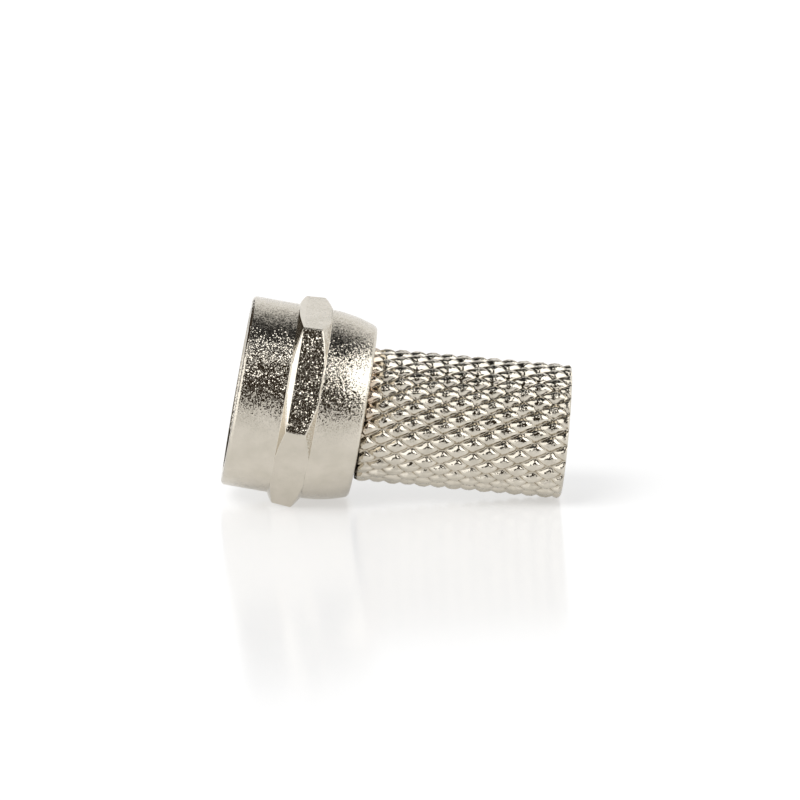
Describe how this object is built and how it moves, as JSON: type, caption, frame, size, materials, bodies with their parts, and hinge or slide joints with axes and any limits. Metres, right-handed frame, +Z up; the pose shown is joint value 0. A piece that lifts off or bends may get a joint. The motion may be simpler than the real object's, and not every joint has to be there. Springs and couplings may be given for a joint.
{
  "type": "coaxial f connector",
  "caption": "Male coaxial F plug: a round nut with a hex collar that spins on a diamond-knurled, hollow twist-on sleeve.",
  "frame": {"origin": "on the surface it lies on, under the centre of its box", "axes": "+Z up, the nut's open front towards -X and the sleeve's rear towards +X, both bores in the XZ plane"},
  "size_m": [0.0206, 0.0128, 0.0119],
  "materials": {
    "nut_plating": "satin",
    "sleeve_plating": "polished"
  },
  "bodies": {
    "sleeve": {"knurled_sleeve": "sleeve_plating"},
    "nut": {"coupling_nut": "nut_plating"}
  },
  "joints": [
    {"name": "nut_spin", "type": "hinge", "parent": "sleeve", "child": "nut", "pos_m": [-0.00196, 0, 0.00512], "axis": [-0.9842, 0, 0.1771], "continuous": true}
  ]
}
